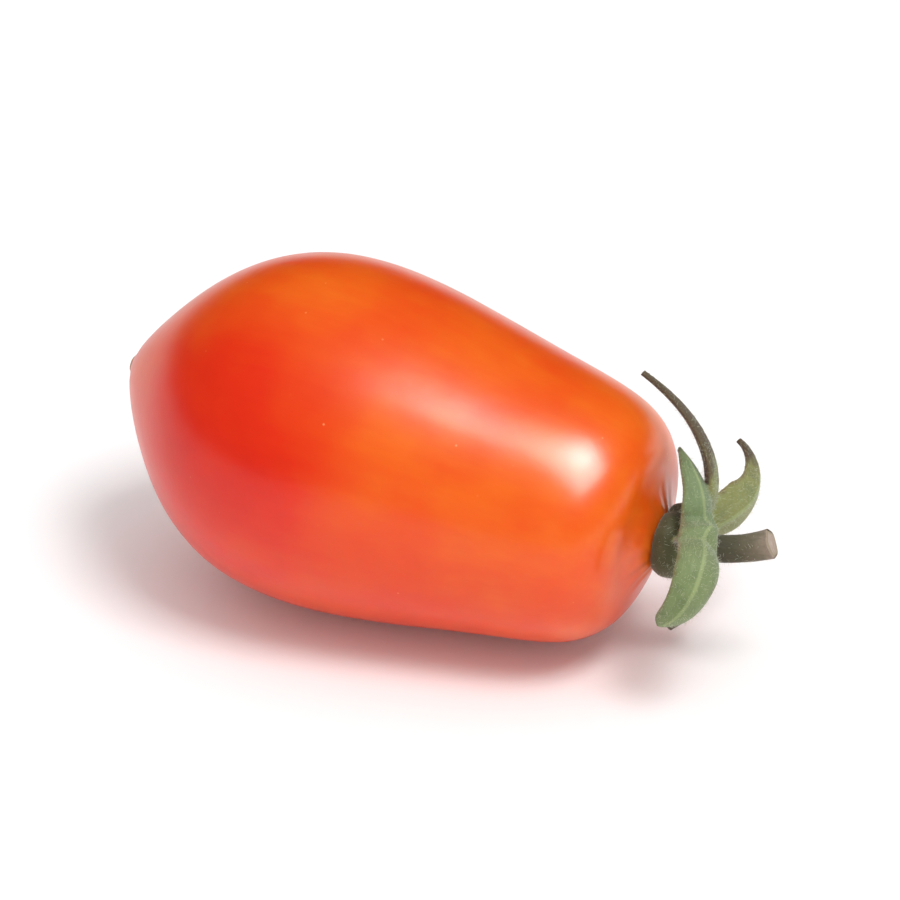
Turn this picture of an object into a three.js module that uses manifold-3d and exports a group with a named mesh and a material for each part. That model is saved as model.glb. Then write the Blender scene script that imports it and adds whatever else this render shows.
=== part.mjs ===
// A plum-shaped cherry tomato as picked: the fruit, its calyx of five sepals and the short cut stalk.
// It lies on its side. Millimetres, +Z up. The origin is the middle of the flat spot under the fruit,
// +X points to the stem end, and the photographed side faces -Y.
import * as THREE from "three";
import { mergeVertices } from "three/addons/utils/BufferGeometryUtils.js";
import Module from "manifold-3d";

const wasm = await Module();
wasm.setup();

// Fruit. Its axis is X in its own frame, and "pole" is the stem end of that axis.
const HALF_LENGTH = 20.62; // middle to either end
const GIRTH = 12.48; // radius at the middle, before the swelling below
const SWELLING = [1, -0.218, 0.126, 0.334, -0.004, 0.409]; // powers of the cosine: blunt stem end, pointed tip
const FLATTENING = 0.02; // it lies on its flatter side
const THREE_SIDED = 0.008; // faint third lobe, with a flat of its own underneath
const NUB_HEIGHT = 0.6; // raised nub under the calyx
const NUB_RADIUS = 3.6;
const NUB_FOLDS = 5;
const FOLD_DEPTH = 0.18; // share of the nub's height
const DIMPLE_DEPTH = 0.25; // shallow ring round the nub
const DIMPLE_RADIUS = 4.6;
const DIMPLE_WIDTH = 1.4;
const SCAR_HEIGHT = 0.2; // small tip where the flower fell off
const SCAR_RADIUS = 1.6;
const FRUIT_RINGS = 40;
const FRUIT_SIDES = 64;
const POLE_CROWDING = 0.12; // brings the rings closer together at both ends
const NORMAL_STEP = 1e-3; // radians, to find the direction that the skin faces

// Rest
const LEAN = 6.5; // degrees that the stem end dips as it lies
const FLAT_DEPTH = 0.22; // depth of the flat spot, which sets its length and breadth
const UNDERSIDE_STEPS = 400; // points tried along the underside to find the lowest one
const GROUND_SIZE = 80; // larger than the fruit

// Calyx. Heights are above the pole, radii from the axis.
const CLEARANCE = 0.3; // between pieces that touch
const HUB_PROFILE = [
  [0, 0.1],
  [2.7, 0.2],
  [3.05, 0.9],
  [2.9, 1.7],
  [2.3, 2.5],
  [1.75, 3.0],
  [0, 3.0],
]; // radius, height
const HUB_SIDES = 30;
const SEPAL_ROOT_RADIUS = 1.5;
const SEPAL_ROOT_HEIGHT = 2.3;
const SEPAL_STEPS = 18;
const SEPAL_THICKNESS = 0.85;
const SEPAL_TIP_THICKNESS = 0.65;
const SEPAL_TIP_HALF_WIDTH = 0.3;
const SEPAL_ARCH = 0.35; // how far the edges drop, as a share of half the width
const SEPAL_SECTION = [
  [1, 0.3],
  [0.55, 0.5],
  [0, 0.5],
  [-0.55, 0.5],
  [-1, 0.3],
  [-1, -0.3],
  [-0.55, -0.5],
  [0, -0.5],
  [0.55, -0.5],
  [1, -0.3],
]; // shares of half the width and of the thickness

// One entry a sepal. Angles are in degrees. `around` counts from straight up towards the front; `lift` and `roll`
// set the root; curl (towards the fruit), sweep (sideways) and twist are turns over the sepal's whole length, given
// at even steps from root to tip. `base` is the root's share of the width, `widest` where it is widest, and a
// small `taper` makes a blunt tip.
const SEPALS = [
  // Upper front
  {
    around: 23,
    length: 8.0,
    width: 3.0,
    lift: 46,
    roll: -30,
    curl: [199, 145, 14],
    sweep: [-20, -32, -16],
    twist: [-20, -6],
    base: 0.8,
    widest: 0.35,
    taper: 0.8,
  },
  // Lower front
  {
    around: 43,
    length: 12.6,
    width: 3.4,
    lift: 34,
    roll: 88,
    curl: [-10, 287, 120],
    sweep: [-18, 26, -108],
    twist: [4, 1],
    base: 0.85,
    widest: 0.55,
    taper: 0.4,
  },
  // Along the shoulder
  {
    around: -32,
    length: 13.5,
    width: 2.2,
    lift: 27,
    roll: 31,
    curl: [160, 84, 20],
    sweep: [28, -85, -29],
    twist: [14, 4],
    base: 0.85,
    widest: 0.32,
    taper: 0.9,
  },
  // Bent away at the back
  {
    around: -71,
    length: 11.0,
    width: 4.0,
    lift: 21,
    roll: 4,
    curl: [-28, 96, 141],
    sweep: [-92, 84, 138],
    twist: [-54, -16],
    base: 1.0,
    widest: 0.4,
    taper: 0.8,
  },
  // Underneath
  {
    around: 200,
    length: 8.4,
    width: 3.2,
    lift: 48,
    roll: 0,
    curl: [150, 95, 10],
    sweep: [20, -20, -30],
    twist: [-20, -10],
    base: 0.62,
    widest: 0.32,
    taper: 0.9,
  },
];

// Stalk: a curve through three control points, as height above the pole, then Y and Z
const STALK_LINE = [
  [2.3, 0.08, 0.08],
  [5.3, 0.45, 0.42],
  [8.0, 1.14, 1.98],
];
const STALK_ROOT_RADIUS = 1.15;
const STALK_RADIUS = 1.02;
const STALK_END_RADIUS = 1.12; // it thickens a little towards the cut
const STALK_STEPS = 14;
const STALK_SIDES = 18;

const axisX = new THREE.Vector3(1, 0, 0);
const radians = THREE.MathUtils.degToRad;

// Direction square to the axis, at an angle in radians from straight up towards the front.
const outward = (angle) => new THREE.Vector3(0, -Math.sin(angle), Math.cos(angle));

// Value of evenly spaced steps at a share of the length.
function along(values, share) {
  const place = share * (values.length - 1);
  const low = Math.min(Math.floor(place), values.length - 2);
  return THREE.MathUtils.lerp(values[low], values[low + 1], place - low);
}

// Smooth bump of height 1 at the middle that ends at radius 1.
const bump = (share) => (share < 1 ? (1 - share ** 2) ** 2 : 0);

// Closed surface over rings of points, with a fan of triangles to a point at each end. The rings turn
// anticlockwise seen from the last point.
function skin(rings, first, last) {
  const sides = rings[0].length;
  const points = [...rings.flat(), first, last];
  const start = points.length - 2;
  const end = points.length - 1;
  const faces = [];
  for (let j = 0; j < sides; j++) {
    const k = (j + 1) % sides;
    faces.push(start, k, j);
    for (let i = 0; i < rings.length - 1; i++) {
      const low = i * sides;
      const high = low + sides;
      faces.push(low + j, low + k, high + k);
      faces.push(low + j, high + k, high + j);
    }
    const top = (rings.length - 1) * sides;
    faces.push(end, top + j, top + k);
  }
  const geometry = new THREE.BufferGeometry().setFromPoints(points);
  geometry.setIndex(faces);
  return geometry;
}

const middle = (ring) =>
  ring.reduce((sum, point) => sum.add(point), new THREE.Vector3()).divideScalar(ring.length);

// Solid for joining and cutting.
function solid(geometry) {
  const bare = geometry.clone();
  bare.deleteAttribute("normal");
  bare.deleteAttribute("uv");
  const merged = mergeVertices(bare, 1e-4);
  return new wasm.Manifold(
    new wasm.Mesh({
      numProp: 3,
      vertProperties: new Float32Array(merged.attributes.position.array),
      triVerts: new Uint32Array(merged.index.array),
    }),
  );
}

function namedMesh(name, shape, finish) {
  const { vertProperties, triVerts } = shape.getMesh();
  const geometry = new THREE.BufferGeometry();
  geometry.setAttribute("position", new THREE.BufferAttribute(vertProperties, 3));
  geometry.setIndex(new THREE.BufferAttribute(triVerts, 1));
  geometry.computeVertexNormals();
  const mesh = new THREE.Mesh(geometry, new THREE.MeshStandardMaterial(finish));
  mesh.name = name;
  return mesh;
}

// Point of the skin: `fromPole` is the angle from the stem end, `angle` the one about the axis.
function fruitPoint(fromPole, angle) {
  const cosine = Math.cos(fromPole);
  const swelling = SWELLING.reduce((sum, share, power) => sum + share * cosine ** power, 0);
  const lobes = 1 - FLATTENING * Math.cos(2 * angle) + THREE_SIDED * Math.cos(3 * angle);
  const radius = GIRTH * Math.sin(fromPole) * swelling * lobes;
  let height = HALF_LENGTH * cosine;
  if (cosine > 0) {
    const folds = 1 + FOLD_DEPTH * (radius / NUB_RADIUS) * Math.cos(NUB_FOLDS * angle);
    height += NUB_HEIGHT * folds * bump(radius / NUB_RADIUS);
    height -= DIMPLE_DEPTH * Math.exp(-(((radius - DIMPLE_RADIUS) / DIMPLE_WIDTH) ** 2));
  } else {
    height -= SCAR_HEIGHT * bump(radius / SCAR_RADIUS);
  }
  return outward(angle).multiplyScalar(radius).setX(height);
}

// Same point, moved out along the skin's own normal.
function fruitPointOutside(fromPole, angle, distance) {
  const point = fruitPoint(fromPole, angle);
  const lengthwise = fruitPoint(fromPole + NORMAL_STEP, angle).sub(point);
  const crosswise = fruitPoint(fromPole, angle + NORMAL_STEP).sub(point);
  const normal = lengthwise.cross(crosswise).normalize();
  return point.addScaledVector(normal, distance);
}

function fruitSolid(outside) {
  const rings = [];
  for (let i = FRUIT_RINGS - 1; i > 0; i--) {
    const share = i / FRUIT_RINGS;
    const fromPole = Math.PI * (share - POLE_CROWDING * Math.sin(2 * Math.PI * share));
    const ring = [];
    for (let j = 0; j < FRUIT_SIDES; j++) {
      ring.push(fruitPointOutside(fromPole, (2 * Math.PI * j) / FRUIT_SIDES, outside));
    }
    rings.push(ring);
  }
  const pole = fruitPoint(0, 0).addScaledVector(axisX, outside);
  const tip = fruitPoint(Math.PI, 0).addScaledVector(axisX, -outside);
  return solid(skin(rings, tip, pole));
}

// How the fruit lies: turned by its lean, with the lowest point just below the surface, so that the surface
// cuts the flat spot.
function restingPlace() {
  const group = new THREE.Group();
  group.rotation.y = radians(LEAN);
  group.updateMatrix();
  const lowest = new THREE.Vector3();
  for (let i = 0; i <= UNDERSIDE_STEPS; i++) {
    const point = fruitPoint((Math.PI * i) / UNDERSIDE_STEPS, Math.PI).applyMatrix4(group.matrix);
    if (point.z < lowest.z) lowest.copy(point);
  }
  group.position.set(-lowest.x, -lowest.y, -lowest.z - FLAT_DEPTH);
  group.updateMatrix();
  return group;
}

// Everything below the surface, in the fruit's own frame.
function groundSolid(place) {
  const ground = new THREE.BoxGeometry(GROUND_SIZE, GROUND_SIZE, GROUND_SIZE);
  ground.translate(0, 0, -GROUND_SIZE / 2);
  return solid(ground.applyMatrix4(place.matrix.clone().invert()));
}

function sepalWidth(share, { base, widest, taper }) {
  if (share < widest) return base + (1 - base) * Math.sin((Math.PI / 2) * (share / widest));
  return (1 - (share - widest) / (1 - widest)) ** taper;
}

// A sepal grows from the hub in short steps, and turns a little at each.
function sepalSolid(sepal) {
  const spoke = outward(radians(sepal.around));
  const point = spoke.clone().multiplyScalar(SEPAL_ROOT_RADIUS);
  point.x = HALF_LENGTH + SEPAL_ROOT_HEIGHT;
  const lift = radians(sepal.lift);
  const forward = spoke.clone().multiplyScalar(Math.cos(lift)).addScaledVector(axisX, Math.sin(lift));
  const back = spoke.clone().multiplyScalar(-Math.sin(lift)).addScaledVector(axisX, Math.cos(lift));
  back.applyAxisAngle(forward, radians(sepal.roll));
  const side = new THREE.Vector3().crossVectors(back, forward);
  const rings = [];
  for (let i = 0; i <= SEPAL_STEPS; i++) {
    const share = i / SEPAL_STEPS;
    const halfWidth = Math.max((sepal.width / 2) * sepalWidth(share, sepal), SEPAL_TIP_HALF_WIDTH);
    const thickness = THREE.MathUtils.lerp(SEPAL_THICKNESS, SEPAL_TIP_THICKNESS, share);
    const ring = SEPAL_SECTION.map(([across, through]) =>
      point
        .clone()
        .addScaledVector(side, halfWidth * across)
        .addScaledVector(back, thickness * through - SEPAL_ARCH * halfWidth * across ** 2),
    );
    rings.push(ring);
    const curl = radians(along(sepal.curl, share)) / SEPAL_STEPS;
    forward.applyAxisAngle(side, curl);
    back.applyAxisAngle(side, curl);
    const sweep = radians(along(sepal.sweep, share)) / SEPAL_STEPS;
    forward.applyAxisAngle(back, sweep);
    back.applyAxisAngle(forward, radians(along(sepal.twist, share)) / SEPAL_STEPS);
    side.crossVectors(back, forward);
    point.addScaledVector(forward, sepal.length / SEPAL_STEPS);
  }
  return solid(skin(rings, middle(rings[0]), middle(rings.at(-1))));
}

function hubSolid() {
  const profile = HUB_PROFILE.map(([radius, height]) => new THREE.Vector2(radius, height));
  const hub = new THREE.LatheGeometry(profile, HUB_SIDES);
  hub.rotateZ(-Math.PI / 2); // the lathe turns about Y
  hub.translate(HALF_LENGTH, 0, 0);
  return solid(hub);
}

// The stalk; `outside` makes it thicker all round, for the recess that it stands in.
function stalkSolid(outside) {
  const [start, bend, end] = STALK_LINE.map(([height, y, z]) => new THREE.Vector3(HALF_LENGTH + height, y, z));
  const line = new THREE.QuadraticBezierCurve3(start, bend, end);
  const { normals, binormals } = line.computeFrenetFrames(STALK_STEPS, false);
  const rings = [];
  for (let i = 0; i <= STALK_STEPS; i++) {
    const share = i / STALK_STEPS;
    const radius = along([STALK_ROOT_RADIUS, STALK_RADIUS, STALK_RADIUS, STALK_END_RADIUS], share) + outside;
    const centre = line.getPointAt(share);
    if (i === 0) centre.addScaledVector(line.getTangentAt(0), -outside);
    const ring = [];
    for (let j = 0; j < STALK_SIDES; j++) {
      const turn = (2 * Math.PI * j) / STALK_SIDES;
      ring.push(
        centre
          .clone()
          .addScaledVector(normals[i], radius * Math.cos(turn))
          .addScaledVector(binormals[i], radius * Math.sin(turn)),
      );
    }
    rings.push(ring);
  }
  return solid(skin(rings, middle(rings[0]), middle(rings.at(-1))));
}

const tomato = restingPlace();

const fruit = fruitSolid(0).subtract(groundSolid(tomato));
const stalk = stalkSolid(0);
const calyx = SEPALS.map(sepalSolid)
  .reduce((joined, sepal) => joined.add(sepal), hubSolid())
  .subtract(fruitSolid(CLEARANCE))
  .subtract(stalkSolid(CLEARANCE));

tomato.add(namedMesh("fruit", fruit, { color: 0xdd4418, roughness: 0.28, metalness: 0 }));
tomato.add(namedMesh("calyx", calyx, { color: 0x7d9450, roughness: 0.75, metalness: 0 }));
tomato.add(namedMesh("stalk", stalk, { color: 0x77734f, roughness: 0.8, metalness: 0 }));

const part = new THREE.Group();
part.add(tomato);

export default part;
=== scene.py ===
"""A plum-shaped cherry tomato as picked, lying on its side: the fruit, its calyx and the cut stalk.

Shapes are worked out in millimetres in the fruit's own frame: +X runs along the fruit to the stem end,
and the "pole" is that end. Each finished mesh is then laid down on the surface, in metres.
"""
import math

import bpy
import numpy as np
from mathutils import Matrix, Vector
from mathutils.kdtree import KDTree


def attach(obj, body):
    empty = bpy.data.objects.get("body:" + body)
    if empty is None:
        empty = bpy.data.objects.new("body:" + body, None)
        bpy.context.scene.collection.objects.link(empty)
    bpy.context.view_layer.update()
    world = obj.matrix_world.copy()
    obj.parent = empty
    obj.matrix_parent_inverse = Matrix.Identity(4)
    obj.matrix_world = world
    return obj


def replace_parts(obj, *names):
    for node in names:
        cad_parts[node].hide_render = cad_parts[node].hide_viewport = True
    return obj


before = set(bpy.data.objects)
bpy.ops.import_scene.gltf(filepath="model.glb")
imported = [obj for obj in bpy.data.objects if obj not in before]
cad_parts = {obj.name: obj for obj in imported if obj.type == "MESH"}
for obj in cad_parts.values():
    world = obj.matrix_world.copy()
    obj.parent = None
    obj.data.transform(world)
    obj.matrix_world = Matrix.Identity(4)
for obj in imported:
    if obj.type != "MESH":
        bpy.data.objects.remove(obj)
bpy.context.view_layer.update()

MM = 0.001

# Fruit, as in the part's source
HALF_LENGTH = 20.62
GIRTH = 12.48
SWELLING = [1, -0.218, 0.126, 0.334, -0.004, 0.409]  # powers of the cosine
FLATTENING = 0.02
THREE_SIDED = 0.008
NUB_HEIGHT = 0.6
NUB_RADIUS = 3.6
NUB_FOLDS = 5
FOLD_DEPTH = 0.18
DIMPLE_DEPTH = 0.25
DIMPLE_RADIUS = 4.6
DIMPLE_WIDTH = 1.4
SCAR_HEIGHT = 0.2
SCAR_RADIUS = 1.6
LEAN = 6.5  # degrees that the stem end dips
FLAT_DEPTH = 0.22
UNDERSIDE_STEPS = 400

# Fruit, finer detail
SKIN_RINGS = 200
SKIN_SIDES = 240
SKIN_CROWDING = 0.1  # brings the rings closer together at both ends
SKIN_INSET = 0.02  # keeps the finer skin inside the source's box
FINE_FOLDS = 14  # small pleats round the nub
FINE_FOLD_HEIGHT = 0.03
FINE_FOLD_PLACE = 0.8  # share of the nub's radius
FINE_FOLD_WIDTH = 0.35
UNEVENNESS = 0.12  # slow dents all over
UNEVENNESS_SIZE = 9
RED_CHEEK = (-9.5, -11, 3.5)  # where the skin is ripest
RED_CHEEK_RADIUS = 13
RED_CHEEK_CORE = 2  # radius inside which the cheek is reddest
SCAR_RIM_RADIUS = 0.55
SCAR_RIM_WIDTH = 0.22
SCAR_RIM_HEIGHT = 0.12
SCAR_RIM_REACH = 2  # radius at which the rim has faded out

# Calyx, as in the part's source. Heights are above the pole, radii from the axis.
HUB_PROFILE = [(2.7, 0.2), (3.05, 0.9), (2.9, 1.7), (2.3, 2.5), (1.75, 3.0)]  # radius, height
SEPAL_ROOT_RADIUS = 1.5
SEPAL_ROOT_HEIGHT = 2.3
SEPAL_STEPS = 18
SEPAL_ARCH = 0.35

# One entry a sepal, by its place. Angles are in degrees; see sepal_line for the turns. `tone` runs from
# sage to olive and `dryness` says how much of the tip has gone brown.
SEPALS = {
    "upper front": dict(
        around=23, length=8.0, width=3.0, lift=46, roll=-30, curl=[199, 145, 14], sweep=[-20, -32, -16],
        twist=[-20, -6], base=0.9, widest=0.35, taper=0.8, tone=0.1, dryness=0.2,
    ),
    "lower front": dict(
        around=43, length=12.6, width=3.4, lift=34, roll=88, curl=[-10, 287, 120], sweep=[-18, 26, -108],
        twist=[4, 1], base=0.85, widest=0.55, taper=0.34, tone=0.3, dryness=0.1,
    ),
    "along the shoulder": dict(
        around=-32, length=13.5, width=2.2, lift=27, roll=31, curl=[160, 84, 20], sweep=[28, -85, -29],
        twist=[14, 4], base=0.85, widest=0.32, taper=0.9, tone=0.9, dryness=1.25,
    ),
    "bent away at the back": dict(
        around=-71, length=11.0, width=4.0, lift=21, roll=4, curl=[-28, 96, 141], sweep=[-92, 84, 138],
        twist=[-54, -16], base=1.0, widest=0.4, taper=0.8, tone=1.0, dryness=0.62,
    ),
    "underneath": dict(
        around=200, length=8.4, width=3.2, lift=48, roll=0, curl=[150, 95, 10], sweep=[20, -20, -30],
        twist=[-20, -10], base=0.62, widest=0.32, taper=0.9, tone=0.5, dryness=0.6,
    ),
}

# Calyx, finer detail
SEPAL_FINE_STEPS = 84
SEPAL_SIDES = 32
SEPAL_THICKNESS = 0.62
SEPAL_EDGE_THICKNESS = 0.16
SEPAL_TIP_THICKNESS = 0.3
SEPAL_TIP_HALF_WIDTH = 0.14
ROOT_SHARE = 0.16  # share of the length over which the root thickens into the hub
ROOT_THICKENING = 0.7
ROOT_NARROWING = 0.6  # share of the width that is missing right at the root
ROOT_NARROW_SHARE = 0.17
MIDRIB_HEIGHT = 0.16
MIDRIB_WIDTH = 0.16  # share of half the width
INNER_MIDRIB = 0.5  # height on the inner side, as a share of the outer one's
VEIN_HEIGHT = 0.035
VEINS = 7
VEIN_SLANT = 1.2  # how far a vein climbs to the edge, in steps from vein to vein
VEIN_SHARPNESS = 8
EDGE_WAVE = 0.03
EDGE_WAVES = 2.3
EDGE_WAVE_LAG = 2.1  # radians from the middle to either edge
EDGE_BLEND = 3  # the ribs fade out over the last third of the way to where the two sides meet
TIGHTEST_BEND = 0.8  # share of a bend's radius that a sepal's inner edge may reach
STRAIGHT = 1e-6  # bends below this count as straight
BALD_SHARE = 0.1  # share of the length over which the hairs thin out at the root and the tip
HAIRLESS_FROM = 1.02  # share of the length past which no hair would grow
BRIDGE_SHARE = 0.3  # how far up two sepals the leaf between them reaches
BRIDGE_STEPS = 40
BRIDGE_RISE = 1.2  # how far it is raised in its middle, as a share of its thickness
HUB_FOOT = [(0.4, 0.0)]
HUB_COLLAR = [(1.25, 3.25), (0.9, 3.1)]  # low rim round the stalk
HUB_SIDES = 120
HUB_STEPS = 26
HUB_LOBE = 0.56  # how far the hub draws in between two sepals
HUB_LOBE_WIDTH = 26  # degrees
HUB_LOBE_POWER = 0.7  # how evenly the lobes run from the foot to the collar
LEAF_VOXEL = 0.085  # grain of the skin that closes over hub and sepals
SKIN_SMOOTHING = 2  # rounds that even out the whole skin
JOIN_SMOOTHING = 24  # rounds in all, the rest of them near the hub alone
JOIN_REACH = 4.8  # distance from the hub's middle over which they fade
JOIN_FULL = 1.3  # raises their strength near the hub
SMOOTHING_SHARE = 0.5  # of the way to the neighbours' middle, each round
NEAREST_SOURCES = 5  # points that a mark is taken from
SOURCE_BLUR = 0.05  # keeps the nearest one from counting alone

# Stalk, as in the part's source: height above the pole, Y, Z
STALK_LINE = [(2.3, 0.08, 0.08), (5.3, 0.45, 0.42), (8.0, 1.14, 1.98)]
STALK_RADII = [1.15, 1.02, 1.02, 1.12]

# Stalk, finer detail
STALK_ROOT_DROP = 1.2  # how far it reaches down into the hub
STALK_FINE_STEPS = 60
STALK_SIDES = 60
STALK_RIDGES = 5
STALK_RIDGE_HEIGHT = 0.05
STALK_RIDGE_TURN = 0.6  # radians
CUT_RINGS = 8
CUT_RIM = 0.24  # depth of the rounded rim
CUT_RIM_SHARE = 0.15  # its share of the radius
CUT_INSET = 0.06  # share of the radius by which the cut face is smaller
CUT_HOLLOW = 0.11

# Hairs
CALYX_HAIRS_PER_MM2 = 18
CALYX_HAIR_SEED = 3
STALK_HAIRS_PER_MM2 = 7
STALK_HAIR_SEED = 8
HAIR_LENGTH = 0.38  # the longest
SHORTEST_HAIR = 0.35  # share of the longest
HAIR_THICKNESS = 0.022
HAIR_TAPER = 0.8  # share of the thickness that is gone at the tip
HAIR_KNEE = 0.55  # height at which it starts to bend, as a share of its length
HAIR_BEND = 0.22  # how far the tip bends aside, as a share of its length
HAIR_SIDES = 3
HAIR_STEPS = 3
HAIR_LEAN = 50  # degrees, at most

# Patterns on the skin
CLOUD_SIZE = 8
STREAK_SIZE = 1.6
STREAK_SQUEEZE = 0.12  # scale along the fruit, which draws the streaks out
SPECK_SPACING = 1.5
SPECK_RADII = (0.03, 0.075)  # full inside the first and gone at the second, as shares of the spacing
CORK_RADII = (0.6, 0.9)  # full inside the first and gone at the second
PIT_RADII = (0.15, 0.55)  # dark inside the first and pale from the second
GRAIN_SIZE = 0.28
PORE_SIZE = 1.4
SKIN_RELIEF = 0.012
SKIN_ROUGHNESS = 0.3  # under about 0.27 the denoiser draws lines where it varies

# Patterns on the calyx and the stalk
LEAF_PATCH_SIZE = 0.9
LEAF_GRAIN_SIZE = 0.16
LEAF_RELIEF = 0.08
STALK_PATCH_SIZE = 0.8
STALK_GRAIN_SIZE = 0.14
FIBRE_SIZE = 0.3
FIBRE_SQUEEZE = 0.15  # scale along the stalk, which draws the fibres out
STALK_RELIEF = 0.07
HAIR_SHADE_SIZE = 1.2

# Colours, as linear red, green, blue and opacity
SKIN_COLOURS = [  # from the ripest to the least ripe
    (0.05, (0.58, 0.005, 0.0005, 1)),
    (0.4, (0.67, 0.022, 0.001, 1)),
    (0.7, (0.72, 0.068, 0.002, 1)),
    (1.0, (0.78, 0.155, 0.004, 1)),
]
SPECK_COLOUR = (0.95, 0.42, 0.16, 1)
NUB_COLOUR = (0.55, 0.16, 0.015, 1)
CORK_PIT_COLOUR = (0.07, 0.03, 0.012, 1)
CORK_COLOUR = (0.36, 0.19, 0.08, 1)
SAGE = (0.135, 0.2, 0.085, 1)
OLIVE = (0.215, 0.225, 0.062, 1)
LEAF_ROOT_COLOUR = (0.27, 0.34, 0.055, 1)
LEAF_PATCH_COLOUR = (0.085, 0.12, 0.045, 1)
LEAF_THREAD_COLOUR = (0.30, 0.36, 0.17, 1)
MIDRIB_COLOUR = (0.33, 0.39, 0.17, 1)
# Painted shade, nearly black, on the sepals' inner sides and most of the hub, for the shadowed gap between
# fruit and calyx
INNER_SIDE_PAINTED_SHADE = (0.036, 0.031, 0.012, 1)
WORN_EDGE_COLOUR = (0.16, 0.085, 0.03, 1)
DRY_DARK = (0.03, 0.016, 0.007, 1)
DRY_PALE = (0.11, 0.062, 0.028, 1)
# The darkest stop, at the hub end, is partly painted shade under the sepals.
STALK_COLOURS_AND_ROOT_SHADE = [  # from the hub to the cut
    (0.15, (0.033, 0.032, 0.013, 1)),
    (0.6, (0.07, 0.062, 0.032, 1)),
    (0.85, (0.15, 0.12, 0.078, 1)),
    (1.0, (0.27, 0.205, 0.155, 1)),
]
FIBRE_COLOUR = (0.07, 0.065, 0.03, 1)
CUT_DARK = (0.29, 0.20, 0.15, 1)
CUT_PALE = (0.43, 0.32, 0.25, 1)
CUT_RING_COLOUR = (0.24, 0.22, 0.10, 1)
CUT_CORE_COLOUR = (0.50, 0.41, 0.33, 1)
HAIR_DARK = (0.42, 0.47, 0.30, 1)
HAIR_PALE = (0.66, 0.68, 0.52, 1)
TABLE_DARK = (0.93, 0.93, 0.93, 1)
TABLE_PALE = (0.95, 0.95, 0.95, 1)

# View. The azimuth counts from the front, -Y, towards the stem end.
CAMERA_AZIMUTH = 23.8
CAMERA_ELEVATION = 31
CAMERA_DISTANCE = 800
FRAME_WIDTH = 64  # what the picture takes in at the fruit
FRAME_RIGHT = 3.96  # middle of the picture from the fruit's middle
FRAME_UP = 0.05
SENSOR_WIDTH = 36
NEAREST_SEEN = 50
FARTHEST_SEEN = 20000

# Table and lights, in metres, degrees and watts. Only a mirrored softbox shows as a highlight, and one that
# lights nothing is a card for the highlight alone.
TABLE_REACH = 3.0
TABLE_SHADE_SIZE = 0.3
SOFTBOXES = {
    "key softbox": dict(azimuth=69, elevation=64, distance=1.0, width=0.4, height=0.4, power=5.4),
    "highlight card": dict(
        azimuth=71, elevation=57, distance=1.0, width=0.62, height=0.62, power=18,
        mirrored=True, lights=False,
    ),
    "highlight core": dict(
        azimuth=76, elevation=64, distance=0.95, width=0.26, height=0.26, power=3.6,
        mirrored=True, lights=False,
    ),
    "ceiling softbox": dict(azimuth=0, elevation=89, distance=1.6, width=2.4, height=2.4, power=7),
    "front fill": dict(azimuth=12, elevation=8, distance=1.2, width=0.8, height=0.5, power=3.6),
}
ROOM_LIGHT = 0.58


# Formulas in node trees


class Field:
    """A number that varies over a surface. Sums and products of fields add maths nodes to their tree."""

    def __init__(self, tree, socket):
        self.tree = tree
        self.socket = socket

    def __add__(self, other):
        return calculate("ADD", self, other)

    def __sub__(self, other):
        return calculate("SUBTRACT", self, other)

    def __rsub__(self, other):
        return calculate("SUBTRACT", other, self)

    def __mul__(self, other):
        return calculate("MULTIPLY", self, other)

    def __truediv__(self, other):
        return calculate("DIVIDE", self, other)

    def __pow__(self, power):
        return calculate("POWER", self, power)

    def __neg__(self):
        return calculate("MULTIPLY", self, -1)

    __radd__ = __add__
    __rmul__ = __mul__


def feed(tree, value, socket):
    """Links a field or an output to a node's input, or sets a plain value on it."""
    if isinstance(value, Field):
        value = value.socket
    if isinstance(value, bpy.types.NodeSocket):
        tree.links.new(value, socket)
    else:
        socket.default_value = value


def add(tree, kind, inputs=None, **settings):
    """A new node with its settings and its inputs."""
    node = tree.nodes.new(kind)
    for name, value in settings.items():
        setattr(node, name, value)
    for name, value in (inputs or {}).items():
        feed(tree, value, node.inputs[name])
    return node


def calculate(operation, *values):
    """One maths node over fields and plain numbers."""
    tree = next(value.tree for value in values if isinstance(value, Field))
    node = add(tree, "ShaderNodeMath", operation=operation)
    for value, socket in zip(values, node.inputs):
        feed(tree, value, socket)
    return Field(tree, node.outputs[0])


def split(tree, vector):
    """X, Y and Z of a vector, as fields."""
    node = add(tree, "ShaderNodeSeparateXYZ", {"Vector": vector})
    return [Field(tree, socket) for socket in node.outputs]


def joined(tree, x, y, z):
    return add(tree, "ShaderNodeCombineXYZ", {"X": x, "Y": y, "Z": z}).outputs["Vector"]


def bump(share):
    """Smooth bump of height 1 at the middle that ends where the share is 1."""
    return calculate("MAXIMUM", 1 - share * share, 0.0) ** 2


def hill(distance, width):
    """Bell of height 1 round distance 0."""
    ratio = distance / width
    return calculate("EXPONENT", -(ratio * ratio))


def noise(tree, vector, size, detail=2.0, roughness=0.5):
    """Soft noise from 0 to 1, with lumps of about that size in the vector's units."""
    node = add(
        tree,
        "ShaderNodeTexNoise",
        {"Vector": vector, "Scale": 1 / size, "Detail": detail, "Roughness": roughness},
    )
    return Field(tree, node.outputs["Fac"])


def ranged(value, low, high, bottom=0.0, top=1.0):
    """Smooth step of a field from bottom, at low, to top, at high."""
    node = add(value.tree, "ShaderNodeMapRange", interpolation_type="SMOOTHSTEP")
    for socket, given in zip(node.inputs, (value, low, high, bottom, top)):
        feed(value.tree, given, socket)
    return Field(value.tree, node.outputs[0])


# Geometry Nodes


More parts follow.
